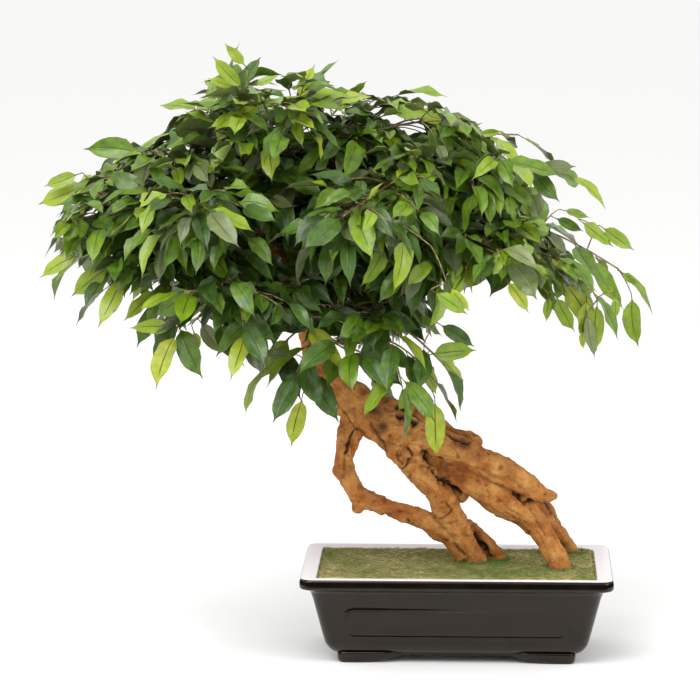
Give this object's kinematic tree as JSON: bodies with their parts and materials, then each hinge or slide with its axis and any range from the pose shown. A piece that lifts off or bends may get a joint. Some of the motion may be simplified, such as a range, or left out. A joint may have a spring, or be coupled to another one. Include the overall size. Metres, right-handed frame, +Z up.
{
  "type": "bonsai tree in a pot",
  "caption": "Leafy indoor bonsai with a leaning trunk of fused driftwood roots, standing in an oblong footed glazed pot under a cut moss mat.",
  "frame": {"origin": "under the middle of the whole plant's bounding box, on the surface that the pot's feet stand on", "axes": "+Z up, +X along the pot's long side to the side away from which the trunk leans, -Y to the pot's front panel"},
  "size_m": [0.7102, 0.4896, 0.7047],
  "materials": {
    "pot_glaze": "glossy brown-black glaze outside, white glaze inside the rim",
    "fill": "matt, crumbly",
    "moss": "matt short pile of preserved moss",
    "driftwood": "weathered, unvarnished, with dark cracks",
    "leaves": "semi-gloss coated cloth leaves on brown-green stems"
  },
  "bodies": {
    "root": {"pot": "pot_glaze", "soil_fill": "fill", "moss_mat": "moss", "trunk": "driftwood", "leafy_bough_01": "leaves", "leafy_bough_02": "leaves", "leafy_bough_03": "leaves", "leafy_bough_04": "leaves", "leafy_bough_05": "leaves", "leafy_bough_06": "leaves", "leafy_bough_07": "leaves", "leafy_bough_08": "leaves", "leafy_bough_09": "leaves", "leafy_bough_10": "leaves", "leafy_bough_11": "leaves", "leafy_bough_12": "leaves", "leafy_bough_13": "leaves", "leafy_bough_14": "leaves", "leafy_bough_15": "leaves", "leafy_bough_16": "leaves", "leafy_bough_17": "leaves"}
  },
  "joints": []
}
